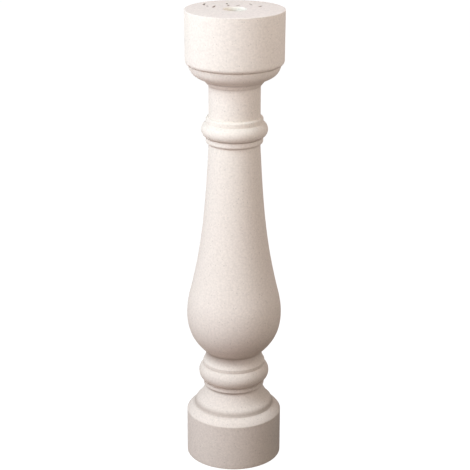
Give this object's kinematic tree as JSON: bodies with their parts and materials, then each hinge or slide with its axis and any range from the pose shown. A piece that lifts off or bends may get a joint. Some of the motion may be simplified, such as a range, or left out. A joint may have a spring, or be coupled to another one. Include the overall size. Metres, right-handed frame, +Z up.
{
  "type": "stone baluster",
  "caption": "Round turned stone baluster with a plain plinth, vase-shaped body, ring mouldings, bowl and drum cap, to stand upright between a base course and a coping.",
  "frame": {"origin": "centre of the flat underside of the plinth", "axes": "+Z up along the turning axis; +X and +Y are any two level directions at right angles, since the part is round"},
  "size_m": [0.15, 0.15, 0.72],
  "materials": {
    "cast_stone": "matt fine-grained cast stone, pale warm cream with a faint pink"
  },
  "bodies": {
    "root": {"baluster": "cast_stone"}
  },
  "joints": []
}
